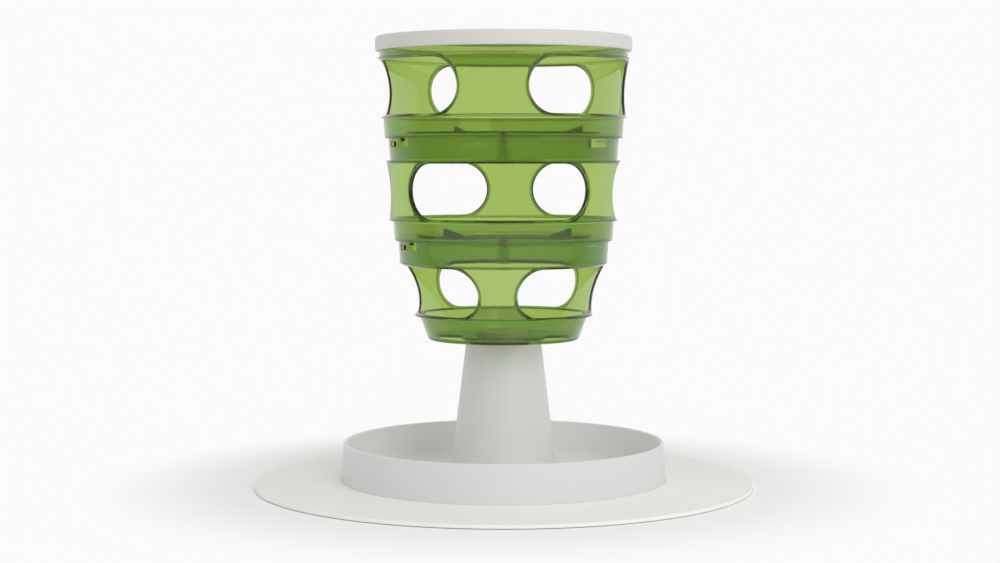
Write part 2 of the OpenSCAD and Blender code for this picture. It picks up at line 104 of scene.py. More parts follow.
# Roundings of the tiers' other edges, the most that one takes of a side, and rows that keep long sides flat
FINE_ROUND, SEAM_ROUND, LEDGE_ROUND = 0.2, 0.15, 0.05
BOWL_FOOT_ROUND, RIM_FOOT_ROUND, RIM_ROUND = 1.0, 0.4, 0.5
ROUND_SHARE, SUPPORT, LONG_SIDE = 0.48, 0.5, 2.0

# Tolerances: points that join in metres, heights and angles that count as one, and edges shown sharp
WELD, SAME_Z, SAME_A = 2e-6, 1e-9, 1e-6
TIER_SHARP_A, SOLID_SHARP_A = 50, 32

# Plastics: the clear share of the green, radii over which the gates darken to their fins, and the lid's
# painted glow: light painted on its inner faces as emission
CLEAR_SHARE = 0.955
GATE_FIN_R = (12.0, 26.0)
WHITE_IOR, GREEN_IOR, INSERT_IOR = 1.5, 1.49, 1.2
# Strength of the painted glow: emission on the lid's inner faces in place of light that comes through the lid
LID_PAINTED_GLOW = 0.55

# How much a face looks away from the axis where the lid's painted glow and the dish's outer colour, without
# the painted light of its inside, start and are full
PAINTED_GLOW_FACES, OUTER_FACES = (-0.4, -0.8), (0.2, 0.8)

# Studio in metres: place, target and size of the lamps, the floor, and where reflections show a darker room
TOP_LAMP = ((0.2, -0.4, 1.75), (0, 0, 0.12), 1.5)
FRONT_LAMP = ((1.0, -1.5, 1.05), (0, 0, 0.13), 1.2)
FLOOR_REACH, FLOOR_FADE, FLOOR_COLOUR = 1.2, (0.178, 0.30), (0.965, 0.965, 0.96, 1)
ROOM_LEVEL, ROOM_Y, CEILING_Z = 0.25, (-0.3, 0.5), (0.3, 0.7)
SENSOR_W, CLIP_END = 36.0, 100


class FeederColours(bpy.types.PropertyGroup):
    """Colours of the plastics and rubber"""

    green: bpy.props.FloatVectorProperty(
        name="Green tint", description="What one wall of the green plastic lets through at its faces",
        subtype="COLOR", size=3, min=0, max=1, default=(0.65, 0.755, 0.345))
    green_depth: bpy.props.FloatVectorProperty(
        name="Green depth", description="Colour that thick green plastic goes to",
        subtype="COLOR", size=3, min=0, max=1, default=(0.616, 0.757, 0.215))
    green_density: bpy.props.FloatProperty(
        name="Green density", description="How fast light is lost inside the green plastic, per metre",
        min=0, max=2000, default=500)
    # Painted shade: windows' edges are darkened towards this colour in place of the dark lines that
    # refraction gives there; the gates also darken towards it at their fins
    green_edge_shade: bpy.props.FloatVectorProperty(
        name="Green edges", description="What the windows' edges and the gates' fins let through of the tint",
        subtype="COLOR", size=3, min=0, max=1, default=(0.07, 0.17, 0.03))
    plate: bpy.props.FloatVectorProperty(
        name="Base plate", description="Colour of the base plate",
        subtype="COLOR", size=3, min=0, max=1, default=(0.94, 0.925, 0.895))
    dish: bpy.props.FloatVectorProperty(
        name="Dish", description="Colour of the dish",
        subtype="COLOR", size=3, min=0, max=1, default=(0.742, 0.747, 0.742))
    # Painted light: the dish's inside and floor get a lighter white than its outside, in place of light where
    # the tower shades them
    dish_inside_painted_light: bpy.props.FloatVectorProperty(
        name="Dish inside", description="Colour of the inside and floor of the dish",
        subtype="COLOR", size=3, min=0, max=1, default=(0.875, 0.88, 0.865))
    stem: bpy.props.FloatVectorProperty(
        name="Stem", description="Colour of the stem",
        subtype="COLOR", size=3, min=0, max=1, default=(0.74, 0.742, 0.722))
    lid: bpy.props.FloatVectorProperty(
        name="Lid", description="Colour of the lid",
        subtype="COLOR", size=3, min=0, max=1, default=(0.70, 0.693, 0.645))
    rubber: bpy.props.FloatVectorProperty(
        name="Rubber", description="Colour of the rubber feet",
        subtype="COLOR", size=3, min=0, max=1, default=(0.055, 0.055, 0.06))
    screw: bpy.props.FloatVectorProperty(
        name="Screws", description="Colour of the zinc on the screws",
        subtype="COLOR", size=3, min=0, max=1, default=(0.56, 0.57, 0.58))


class FeederSizes(bpy.types.PropertyGroup):
    """Roundings and mesh fineness of the tiers"""

    edge_round: bpy.props.FloatProperty(
        name="Edge rounding", description="Rounding of a tier's free edges",
        unit="LENGTH", min=0.0001, max=0.001, default=0.0006)
    window_round: bpy.props.FloatProperty(
        name="Window rounding", description="Rounding of the windows' edges at their round ends",
        unit="LENGTH", min=0.0003, max=0.0025, default=0.0022)
    window_soft: bpy.props.FloatProperty(
        name="Window softness", description="How far the windows' rounding runs into the cut",
        unit="LENGTH", min=0.0002, max=0.0018, default=0.0017)
    window_steps: bpy.props.IntProperty(
        name="Window steps", description="Columns of faces along a window's straight edges",
        min=12, max=80, default=36)
    post_steps: bpy.props.IntProperty(
        name="Post steps", description="Columns of faces from a window's end to the middle of a post",
        min=6, max=40, default=16)


class FeederStudio(bpy.types.PropertyGroup):
    """Camera and lamps"""

    lens: bpy.props.FloatProperty(
        name="Lens", description="Focal length of the camera", subtype="DISTANCE_CAMERA",
        min=20, max=200, default=71.4)
    distance: bpy.props.FloatProperty(
        name="Distance", description="Distance of the camera from the feeder's middle line",
        unit="LENGTH", min=0.5, max=4, default=1.39)
    height: bpy.props.FloatProperty(
        name="Height", description="Height of the camera above the floor",
        unit="LENGTH", min=0, max=2, default=0.2289)
    side: bpy.props.FloatProperty(
        name="Side step", description="Sideways step of the camera",
        unit="LENGTH", min=-0.1, max=0.1, default=-0.00253)
    turn: bpy.props.FloatProperty(
        name="Turn", description="Angle of the camera round the feeder from its front",
        subtype="ANGLE", default=math.radians(3.6))
    pitch: bpy.props.FloatProperty(
        name="Pitch", description="Angle that the camera looks down",
        subtype="ANGLE", default=math.radians(3.53))
    backdrop: bpy.props.FloatVectorProperty(
        name="Backdrop", description="Colour of the backdrop and the far floor",
        subtype="COLOR", size=3, min=0, max=1, default=(0.956, 0.956, 0.956))
    fill: bpy.props.FloatProperty(
        name="Fill", description="Strength of the even light from all round",
        min=0, max=2, default=0.68)
    top_power: bpy.props.FloatProperty(
        name="Top lamp", description="Power of the soft lamp overhead",
        subtype="POWER", min=0, max=200, default=4)
    front_power: bpy.props.FloatProperty(
        name="Front lamp", description="Power of the soft lamp in front",
        subtype="POWER", min=0, max=200, default=9.5)


def polar(radius, height, angle):
    """A point in metres from a radius and a height in millimetres and an angle in degrees."""
    a = math.radians(angle)
    return (radius * math.cos(a) * MM, radius * math.sin(a) * MM, height * MM)


def along(z, z0, z1, ends):
    """Radius at a height on a straight wall between two heights."""
    return ends[0] + (ends[1] - ends[0]) * (z - z0) / (z1 - z0)


def half_turn(angle):
    """The same angle in degrees, between -180 and 180."""
    return (angle + 180) % 360 - 180


def mixed(a, b, t):
    """The point a share t of the way from a to b."""
    return tuple(x + (y - x) * t for x, y in zip(a, b))


def bend(a, corner, b, steps=4):
    """Points of a round edge from a to b that pulls towards a corner."""
    shares = [i / steps for i in range(steps + 1)]
    return [mixed(mixed(a, corner, t), mixed(corner, b, t), t) for t in shares]


def profile_of(corners):
    """Rings of a turned shape from corners (radius, height, rounding, mark), and the ring of each mark."""
    rings = []
    for i, (r, z, rounding, mark) in enumerate(corners):
        if rounding == 0 or i in (0, len(corners) - 1):
            rings.append((r, z, mark))
            continue
        ends = []
        for other in (corners[i - 1], corners[i + 1]):
            length = math.hypot(other[0] - r, other[1] - z)
            ends.append(mixed((r, z), other[:2], min(rounding, ROUND_SHARE * length) / length))
        rings += [(*p, None) for p in bend(ends[0], (r, z), ends[1])]
    full = [rings[0]]
    for a, b in zip(rings, rings[1:]):
        length = math.hypot(b[0] - a[0], b[1] - a[1])
        if length > LONG_SIDE and a[2] is None and b[2] is None:
            near_end = SUPPORT / length
            full += [(*mixed(a[:2], b[:2], t), None) for t in (near_end, 0.5, 1 - near_end)]
        full.append(b)
    marks = {m: i for i, (_, _, m) in enumerate(full) if m}
    return [(r, z) for r, z, _ in full], marks


class Shell:
    """Points and faces of one piece, gathered and then joined into a smooth mesh."""

    def __init__(self):
        self.points, self.faces, self.edge = [], [], []

    def rows(self, rows, edge=()):
        """Adds rows of points, with the painted shade of a window's edge at each, and gives back their
        numbers.
        """
        numbers = []
        for i, row in enumerate(rows):
            start = len(self.points)
            self.points += row
            self.edge += edge[i] if edge else [0.0] * len(row)
            numbers.append(list(range(start, start + len(row))))
        return numbers

    def quilt(self, grid, gone=()):
        """Joins neighbouring rows with faces all the way round, but for the cells that are gone."""
        count = len(grid[0])
        for i in range(len(grid) - 1):
            for j in range(count):
                k = (j + 1) % count
                if (i, j) not in gone:
                    self.faces.append((grid[i][j], grid[i][k], grid[i + 1][k], grid[i + 1][j]))

    def piece(self, name):
        """The finished object, with its edges sharp only where faces meet steeply."""
        mesh = bpy.data.meshes.new(name)
        mesh.from_pydata(self.points, [], self.faces)
        mesh.attributes.new("window_edge", "FLOAT", "POINT").data.foreach_set("value", self.edge)
        bm = bmesh.new()
        bm.from_mesh(mesh)
        bmesh.ops.remove_doubles(bm, verts=bm.verts, dist=WELD)
        bmesh.ops.recalc_face_normals(bm, faces=bm.faces)
        open_edges = [e for e in bm.edges if len(e.link_faces) != 2]
        if open_edges:
            place = open_edges[0].verts[0].co[:]
            raise RuntimeError(f"{name} has {len(open_edges)} open edges, near {place}")
        for face in bm.faces:
            face.smooth = True
        for edge in bm.edges:
            edge.smooth = edge.calc_face_angle(0) < math.radians(TIER_SHARP_A)
        bm.to_mesh(mesh)
        bm.free()
        obj = bpy.data.objects.new(name, mesh)
        bpy.context.scene.collection.objects.link(obj)
        return obj


def add_turned(shell, corners, angles, cuts=()):
    """Adds a turned wall, with cuts right through it: (marks of ring pairs, closed spans, open spans)."""
    profile, marks = profile_of(corners)
    grid = shell.rows([[polar(r, z, a) for a in angles] for r, z in profile])
    count, gone = len(angles), set()

    def columns(spans):
        found = set()
        for a0, a1 in spans:
            j, end = (min(range(count), key=lambda n: abs(half_turn(angles[n] - a))) for a in (a0, a1))
            while j != end:
                found.add(j)
                j = (j + 1) % count
        return found

    def cap(outer, inner, j, k):
        shell.faces.append((grid[outer][j], grid[outer][k], grid[inner][k], grid[inner][j]))

    for pair_marks, closed, opened in cuts:
        pairs = [(marks[a], marks[b]) for a, b in pair_marks]
        closed, opened = columns(closed), columns(opened)
        (first_out, first_in), (last_out, last_in) = pairs[0], pairs[-1]
        for j in closed:
            k = (j + 1) % count
            for p in range(len(pairs) - 1):
                (o0, i0), (o1, i1) = pairs[p], pairs[p + 1]
                gone |= {(o0, j), (i1, j)}
                if (j - 1) % count not in closed:
                    shell.faces.append((grid[o0][j], grid[o1][j], grid[i1][j], grid[i0][j]))
                if k not in closed:
                    shell.faces.append((grid[o0][k], grid[o1][k], grid[i1][k], grid[i0][k]))
            cap(first_out, first_in, j, k)
            if j not in opened:
                cap(last_out, last_in, j, k)
        for j in opened:
            k = (j + 1) % count
            gone |= {(i, j) for i in range(last_out, last_in)}
            if (j - 1) % count not in opened:
                shell.faces.append(tuple(grid[i][j] for i in range(last_out, last_in + 1)))
            if k not in opened:
                shell.faces.append(tuple(grid[i][k] for i in range(last_out, last_in + 1)))
            if j not in closed:
                cap(last_out, last_in, j, k)
    shell.quilt(grid, gone)


def window_columns(side_a, width, half_h, z_ends, straight, post):
    """Columns of faces round a window: angle of its end's middle, direction, edge angle and edge height."""
    low, high = z_ends
    mid = (low + high) / 2
    right = []
    for i in range(1, post + 1):
        t = math.atan2(half_h, width * i / post)
        right.append((side_a, math.cos(t), math.sin(t), side_a + (SECTOR / 2 - side_a) * i / post, high))
    for i in range(1, post):
        share = 1 - 2 * i / post
        t = math.atan2(half_h * share, width)
        right.append((side_a, math.cos(t), math.sin(t), SECTOR / 2, mid + (high - mid) * share))
    right += [(c, u, -v, a, low) for c, u, v, a, _ in reversed(right[:post])]
    left = [(-c, -u, -v, -a, low + high - z) for c, u, v, a, z in right]
    spread = [side_a * (2 * i / straight - 1) for i in range(straight + 1)]
    top = [(a, 0.0, 1.0, a, high) for a in spread]
    bottom = [(a, 0.0, -1.0, a, low) for a in reversed(spread)]
    return top + right + bottom + left


def snapped(columns, height, angles):
    """The columns, with those nearest to certain angles on one edge moved to them."""
    columns, taken = list(columns), set()
    for angle in sorted(angles):
        free = [i for i, c in enumerate(columns)
                if abs(c[4] - height) < SAME_Z and abs(c[3]) < SECTOR / 2 - SAME_A and i not in taken]
        i = min(free, key=lambda n: abs(columns[n][3] - angle))
        taken.add(i)
        columns[i] = (*columns[i][:3], angle, height)
    return columns


def edge_angles(columns, height, mid):
    """Angles of the columns on one edge of a sector, without the sector's last."""
    found = sorted(c[3] for c in columns if abs(c[4] - height) < SAME_Z)
    if any(b - a < SAME_A for a, b in zip(found, found[1:])):
        raise RuntimeError("two columns of a tier fall together")
    return [mid + a for a in found[:-1]]


def tier_piece(name, sizes, band_z, outer, half_a, first_mid, lower, upper, low_cuts=(), high_cuts=()):
    """A see-through tier: a turned shell with round-ended windows in its band."""
    shell = Shell()
    z0, z1 = band_z
    ends, in_ends = (z0 + BAND_TRIM, z1 - BAND_TRIM), (z0 + BAND_STEP, z1 - BAND_STEP)
    inner = tuple(r - BAND_WALL for r in outer)
    z_mid, r_mid = (z0 + z1) / 2, (outer[0] + outer[1]) / 2
    lean = math.cos(math.atan2(outer[1] - outer[0], z1 - z0))
    half = (z1 - z0) / 2 / lean - WINDOW_EDGE
    side_a = half_a - math.degrees(math.asin(half / r_mid))
    width = math.radians(SECTOR / 2 - side_a) * r_mid
    plain = window_columns(side_a, width, half + WINDOW_EDGE - BAND_TRIM / lean, ends,
                           sizes.window_steps, sizes.post_steps)
    soft, deep_soft = sizes.window_round / MM, sizes.window_soft / MM
    shares = [1 - (1 - t / WALL_ROWS) ** WALL_CROWD for t in range(WALL_ROWS)]
    low_angles, high_angles = [], []

    def on_wall(walls, column, reach):
        z = z_mid + reach * column[2] * lean
        r = along(z, z0, z1, walls)
        return column[0] + math.degrees(math.asin(reach * column[1] / r)), z

    def point(walls, mid, angle, z):
        return polar(along(z, z0, z1, walls), z, mid + angle)

    def wanted(cuts, mid):
        every = [a for _, closed, opened in cuts for span in list(closed) + list(opened) for a in span]
        rel = {round(half_turn(a - mid), 6) for a in every}
        return [a for a in rel if abs(a) < SECTOR / 2]

    for s in range(WINDOWS):
        mid = first_mid + s * SECTOR
        columns = snapped(plain, ends[1], wanted(high_cuts, mid))
        columns = snapped(columns, ends[0], wanted(low_cuts, mid))
        low_angles += edge_angles(columns, ends[0], mid)
        high_angles += edge_angles(columns, ends[1], mid)
        lines, shades = [], []
        for c in columns:
            room = (half + EDGE_ROOM) / max(abs(c[2]), LEAST_RISE) - half
            near = min(soft, ROOM_SHARE * room)
            out_near, out_edge = on_wall(outer, c, half + near), on_wall(outer, c, half)
            in_edge = on_wall(inner, c, half - WINDOW_BEVEL)
            in_near = on_wall(inner, c, half - WINDOW_BEVEL + min(near, IN_ROUND))
            in_end = (c[3], along(c[4], *ends, in_ends))
            corner, deep = point(outer, mid, *out_edge), point(inner, mid, *in_edge)
            depth = (Vector(deep) - Vector(corner)).length / MM
            line = [point(outer, mid, *mixed(c[3:5], out_near, t)) for t in shares]
            cut_start = mixed(corner, deep, deep_soft / depth)
            cut_end = mixed(deep, corner, IN_SOFT_SHARE * deep_soft / depth)
            line += bend(point(outer, mid, *out_near), corner, cut_start, EDGE_STEPS)
            line += bend(cut_end, deep, point(inner, mid, *in_near), EDGE_STEPS)
            line += [point(inner, mid, *mixed(in_end, in_near, t)) for t in reversed(shares)]
            lines.append(line)
            # Painted shade along the window's edge, less where its rounding is small
            shades.append([near / soft * shade for shade in EDGE_SHADES])
        rows, row_shades = ([list(row) for row in zip(*grid)] for grid in (lines, shades))
        shell.quilt(shell.rows(rows, row_shades))
    for i, corners, angles, cuts in ((0, lower, low_angles, low_cuts), (1, upper, high_angles, high_cuts)):
        first = (along(ends[i], z0, z1, outer), ends[i], 0, None)
        last = (along(in_ends[i], z0, z1, inner), in_ends[i], 0, None)
        add_turned(shell, [first, *corners, last], angles, cuts)
    return shell.piece(name)


def skirt_corners(sizes, foot_z, band_z, skirt, band_foot):
    """Corners of a skirt from its shoulder, round its foot and floor ledge, up to the band's inner side."""
    soft = sizes.edge_round / MM
    ledge_z = foot_z + LEDGE_LIFT
    ledge_r = skirt[0] + SKIRT_DRAFT * LEDGE_LIFT - WALL
    shelf_r = ledge_r + SKIRT_DRAFT * LEDGE_T
    return [
        (band_foot, band_z, FINE_ROUND, None), (skirt[1], band_z, soft, None),
        (skirt[0], foot_z, soft, None), (skirt[0] - WALL, foot_z, FINE_ROUND, None),
        (ledge_r, ledge_z, LEDGE_ROUND, None), (ledge_r - LEDGE_W, ledge_z, FINE_ROUND, None),
        (ledge_r - LEDGE_W, ledge_z + LEDGE_T, FINE_ROUND, None),
        (shelf_r, ledge_z + LEDGE_T, FINE_ROUND, None),
        (skirt[1] + SKIRT_DRAFT * BAND_STEP - WALL, band_z + BAND_STEP, SEAM_ROUND, None),
    ]


def neck_corners(sizes, neck_z, top_z, neck, band_top):
    """Corners of a neck from the band's edge over its top and down inside, with marks at the lock slots."""
    soft = sizes.edge_round / MM
    low, high = top_z - SLOT_DROP - SLOT_H / 2, top_z - SLOT_DROP + SLOT_H / 2
    r_low, r_high = (along(z, neck_z, top_z, neck) for z in (low, high))
    return [
        (band_top, neck_z, FINE_ROUND, None), (neck[0], neck_z, soft, None),
        (r_low, low, 0, "slot_low_out"), (r_high, high, 0, "slot_high_out"),
        (neck[1], top_z, FINE_ROUND, None), (neck[1] - NECK_WALL, top_z, FINE_ROUND, None),
        (r_high - NECK_WALL, high, 0, "slot_high_in"), (r_low - NECK_WALL, low, 0, "slot_low_in"),
        (neck[0] - NECK_WALL, neck_z - BAND_STEP, SEAM_ROUND, None),
    ]


def lock_cuts():
    """The two bent lock slots of a neck."""
    pairs = [("slot_low_out", "slot_low_in"), ("slot_high_out", "slot_high_in")]
    turns = [i * 360 / LOCKS for i in range(LOCKS)]
    runs = [(SLOT_LEFT + t, SLOT_RIGHT + t) for t in turns]
    ways_in = [(SLOT_WAY_IN + t, SLOT_RIGHT + t) for t in turns]
    return [(pairs, runs, ways_in)]


def bowl_cuts():
    """The drop openings and the lug notches in the bowl's floor."""
    drops = [("drop_out_under", "drop_out_top"), ("drop_in_under", "drop_in_top")]
    drop_mids = [FRONT + SECTOR / 2 + i * SECTOR for i in range(WINDOWS)]
    notch_mids = [NOTCH_A + i * 360 / LOCKS for i in range(LOCKS)]
    return [
        (drops, [(m - DROP_HALF_A, m + DROP_HALF_A) for m in drop_mids], []),
        ([("notch_under", "notch_top")], [], [(m - NOTCH_HALF_A, m + NOTCH_HALF_A) for m in notch_mids]),
    ]


def new_group(name, inputs, outputs):
    """An empty shader node group with its sockets, and its input and output nodes."""
    group = bpy.data.node_groups.new(name, "ShaderNodeTree")
    for socket, kind, value in inputs:
        made = group.interface.new_socket(socket, in_out="INPUT", socket_type=kind)
        made.default_value = value
    for socket, kind in outputs:
        group.interface.new_socket(socket, in_out="OUTPUT", socket_type=kind)
    return group, group.nodes.new("NodeGroupInput"), group.nodes.new("NodeGroupOutput")


def add_node(tree, kind, links=(), **values):
    """A node with its properties, and its inputs set or linked by name or number."""
    node = tree.nodes.new(kind)
    for key, value in values.items():
        setattr(node, key, value)
    for socket, value in links:
        if isinstance(value, bpy.types.NodeSocket):
            tree.links.new(value, node.inputs[socket])
        else:
            node.inputs[socket].default_value = value
    return node


def math_value(tree, operation, *values):
    """The result of a calculation on values or sockets."""
    return add_node(tree, "ShaderNodeMath", list(enumerate(values)), operation=operation).outputs["Value"]


def ranged(tree, value, ends, to=(0.0, 1.0), **values):
    """A value moved from one range to another."""
    sockets = ("Value", "From Min", "From Max", "To Min", "To Max")
    return add_node(tree, "ShaderNodeMapRange", zip(sockets, (value, *ends, *to)), **values).outputs["Result"]


def mixed_shader(tree, share, first, second):
    """Two shaders mixed by the share of the second."""
    return add_node(tree, "ShaderNodeMixShader", [(0, share), (1, first), (2, second)]).outputs["Shader"]


def moulded_grain_group():
    """Fine spark-eroded grain of moulded plastic: a height, and a roughness round a middle value."""
    found = bpy.data.node_groups.get("moulded_grain")
    if found:
        return found
    group, given, out = new_group(
        "moulded_grain",
        [("Grain Size", "NodeSocketFloat", 1400.0), ("Roughness", "NodeSocketFloat", 0.4),
         ("Spread", "NodeSocketFloat", 0.1)],
        [("Height", "NodeSocketFloat"), ("Roughness", "NodeSocketFloat")])
    place = add_node(group, "ShaderNodeTexCoord").outputs["Object"]
    fine = add_node(group, "ShaderNodeTexNoise",
                    [("Vector", place), ("Scale", given.outputs["Grain Size"]), ("Detail", 3.0)])
    broad = add_node(group, "ShaderNodeTexNoise", [("Vector", place), ("Scale", 22.0), ("Detail", 4.0)])
    swing = ranged(group, broad.outputs["Fac"], (0.3, 0.7), (-1.0, 1.0), clamp=False)
    rough = math_value(group, "MULTIPLY_ADD", swing, given.outputs["Spread"], given.outputs["Roughness"])
    group.links.new(fine.outputs["Fac"], out.inputs["Height"])
    group.links.new(rough, out.inputs["Roughness"])
    return group


def tone_group():
    """Slow, slight changes of tone over a moulded piece, with fine specks."""
    found = bpy.data.node_groups.get("moulded_tone")
    if found:
        return found
    group, given, out = new_group(
        "moulded_tone",
        [("Color", "NodeSocketColor", (0.8, 0.8, 0.8, 1)), ("Change", "NodeSocketFloat", 0.03),
         ("Cloud Size", "NodeSocketFloat", 9.0)],
        [("Color", "NodeSocketColor")])
    place = add_node(group, "ShaderNodeTexCoord").outputs["Object"]
    cloud = add_node(group, "ShaderNodeTexNoise",
                     [("Vector", place), ("Scale", given.outputs["Cloud Size"]), ("Detail", 5.0)])
    speck = add_node(group, "ShaderNodeTexNoise", [("Vector", place), ("Scale", 420.0), ("Detail", 2.0)])
    both = math_value(group, "MULTIPLY_ADD", speck.outputs["Fac"], 0.25, cloud.outputs["Fac"])
    level = ranged(group, both, (0.4, 0.85), (-1.0, 1.0), clamp=False)
    change = math_value(group, "MULTIPLY_ADD", level, given.outputs["Change"], 1.0)
    toned = add_node(group, "ShaderNodeVectorMath", [(0, given.outputs["Color"]), (1, change)],
                     operation="MULTIPLY")
    group.links.new(toned.outputs["Vector"], out.inputs["Color"])
    return group


def axis_group():
    """How far a point is from the upright axis, and how much its face looks away from it."""
    found = bpy.data.node_groups.get("axis_place")
    if found:
        return found
    group, _, out = new_group("axis_place", [], [("Away", "NodeSocketFloat"), ("Outward", "NodeSocketFloat")])
    place = add_node(group, "ShaderNodeNewGeometry")
    flat = add_node(group, "ShaderNodeVectorMath", [(0, place.outputs["Position"]), (1, (1, 1, 0))],
                    operation="MULTIPLY")
    away = add_node(group, "ShaderNodeVectorMath", [(0, flat.outputs["Vector"])], operation="LENGTH")
    radial = add_node(group, "ShaderNodeVectorMath", [(0, flat.outputs["Vector"])], operation="NORMALIZE")
    outward = add_node(group, "ShaderNodeVectorMath",
                       [(0, radial.outputs["Vector"]), (1, place.outputs["Normal"])], operation="DOT_PRODUCT")
    group.links.new(away.outputs["Value"], out.inputs["Away"])
    group.links.new(outward.outputs["Value"], out.inputs["Outward"])
    return group


def new_material(name):
    """A material with an empty node tree, and its output node."""
    material = bpy.data.materials.new(name)
    material.use_nodes = True
    tree = material.node_tree
    tree.nodes.clear()
    return material, tree, tree.nodes.new("ShaderNodeOutputMaterial")


def use_group(tree, group, **values):
    """A group placed in a tree with its own values."""
    node = add_node(tree, "ShaderNodeGroup", node_tree=group)
    for key, value in values.items():
        node.inputs[key.replace("_", " ").title()].default_value = value
    return node


def relief(tree, surface, strength, distance):
    """The bumped normal of a grained surface."""
    links = [("Strength", strength), ("Distance", distance), ("Height", surface.outputs["Height"])]
    return add_node(tree, "ShaderNodeBump", links).outputs["Normal"]


def plastic(name, colour, roughness=0.4, grain=1400.0, bump=0.06, change=0.02, gloss=0.5, glow=0.0,
            inside=None):
    """Satin moulded plastic with fine grain and slight changes of tone.

    Faces that look to the axis can get painted light as a slight glow, and all but the outward faces can have
    another colour, which for the dish is painted light on its inside.
    """
    material, tree, out = new_material(name)
    tone = use_group(tree, tone_group(), color=(*colour, 1), change=change)
    # Painted light: all but the outward faces take the lighter inside colour
    if inside:
        outer = ranged(tree, use_group(tree, axis_group()).outputs["Outward"], OUTER_FACES)
        sides = add_node(tree, "ShaderNodeMix", [(0, outer), (6, (*inside, 1)), (7, (*colour, 1))],
                         data_type="RGBA")
        tree.links.new(sides.outputs[2], tone.inputs["Color"])
    surface = use_group(tree, moulded_grain_group(), grain_size=grain, roughness=roughness, spread=0.035)
    shader = add_node(tree, "ShaderNodeBsdfPrincipled",
                      [("Base Color", tone.outputs["Color"]), ("Roughness", surface.outputs["Roughness"]),
                       ("Normal", relief(tree, surface, bump, distance=0.0002)), ("IOR", WHITE_IOR),
                       ("Specular IOR Level", gloss)])
    # Painted light: faces that look to the axis glow by emission, in place of light that comes through the
    # lid
    if glow:
        inner = ranged(tree, use_group(tree, axis_group()).outputs["Outward"], PAINTED_GLOW_FACES)
        tree.links.new(inner, shader.inputs["Emission Color"])
        shader.inputs["Emission Strength"].default_value = glow
    tree.links.new(shader.outputs["BSDF"], out.inputs["Surface"])
    return material


def green_plastic(name, colours, roughness=0.04, strength=1.0, deep=True, ior=GREEN_IOR, fins=()):
    """Polished see-through green plastic that lets lamps through.

    Where deep it is a little hazy and darkens with depth. Windows' edges get painted shade, or the gates
    darken towards their fins by radius.
    """
    material, tree, out = new_material(name)
    tint = tuple(c ** strength for c in colours.green)
    tone = use_group(tree, tone_group(), color=(*tint, 1), change=0.012)
    if fins:
        dark = ranged(tree, use_group(tree, axis_group()).outputs["Away"], [r * MM for r in fins])
    else:
        dark = add_node(tree, "ShaderNodeAttribute", attribute_name="window_edge").outputs["Fac"]
    # Painted shade at the windows' edges, or darker towards the gates' fins
    shade = add_node(tree, "ShaderNodeMix",
                     [(0, dark), (6, tone.outputs["Color"]), (7, (*colours.green_edge_shade, 1))],
                     data_type="RGBA", blend_type="MULTIPLY")
    surface = use_group(tree, moulded_grain_group(), grain_size=35.0, roughness=roughness, spread=0.02)
    shader = add_node(tree, "ShaderNodeBsdfPrincipled",
                      [("Base Color", shade.outputs[2]), ("Roughness", surface.outputs["Roughness"]),
                       ("Normal", relief(tree, surface, strength=0.05, distance=0.0004)), ("IOR", ior),
                       ("Metallic", 0.0), ("Transmission Weight", CLEAR_SHARE if deep else 1.0)])
    clear = add_node(tree, "ShaderNodeBsdfTransparent", [("Color", (*(math.sqrt(c) for c in tint), 1))])
    shadow = add_node(tree, "ShaderNodeLightPath").outputs["Is Shadow Ray"]
    mix = mixed_shader(tree, shadow, shader.outputs["BSDF"], clear.outputs["BSDF"])
    tree.links.new(mix, out.inputs["Surface"])
    if deep:
        depth = add_node(tree, "ShaderNodeVolumeAbsorption",
                         [("Color", (*colours.green_depth, 1)), ("Density", colours.green_density)])
        tree.links.new(depth.outputs["Volume"], out.inputs["Volume"])
    return material


def zinc(name, colour):
    """Zinc plate with fine grain and a clouded tone."""
    material, tree, out = new_material(name)
    tone = use_group(tree, tone_group(), color=(*colour, 1), change=0.08, cloud_size=300.0)
    surface = use_group(tree, moulded_grain_group(), grain_size=6000.0, roughness=0.32, spread=0.08)
    shader = add_node(tree, "ShaderNodeBsdfPrincipled",
                      [("Base Color", tone.outputs["Color"]), ("Roughness", surface.outputs["Roughness"]),
                       ("Normal", relief(tree, surface, strength=0.1, distance=0.0001)), ("Metallic", 1.0)])
    tree.links.new(shader.outputs["BSDF"], out.inputs["Surface"])
    return material


def dress(node, material):
    """Gives a solid from the frame its finish and smooth shading."""
    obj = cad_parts[node]
    obj.data.materials.clear()
    obj.data.materials.append(material)
    obj.data.shade_smooth()
    obj.data.set_sharp_from_angle(angle=math.radians(SOLID_SHARP_A))


def finish_tier(obj, material, node):
    """Lets a tier stand for its solid and move with it."""
    obj.data.materials.append(material)
    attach(obj, node)
    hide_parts(node)


def clear_green(context):
    """The green plastic of the tiers, made once."""
    return bpy.data.materials.get("clear_green") or green_plastic("clear_green", context.scene.feeder_colours)


class FEEDER_OT_base_plate(bpy.types.Operator):
    """Finish the wide base plate"""

    bl_idname = "feeder.base_plate"
    bl_label = "Base plate"

    def execute(self, context):
        white = plastic("plate_white", context.scene.feeder_colours.plate, roughness=0.5, gloss=0.25)
        dress("base_plate", white)
        return {"FINISHED"}


class FEEDER_OT_rubber_feet(bpy.types.Operator):
    """Finish the rubber feet under the base plate"""

    bl_idname = "feeder.rubber_feet"
    bl_label = "Rubber feet"

    def execute(self, context):
        colour = context.scene.feeder_colours.rubber
        rubber = plastic("foot_rubber", colour, roughness=0.8, grain=900.0, bump=0.3, change=0.1)
        dress("rubber_feet", rubber)
        return {"FINISHED"}


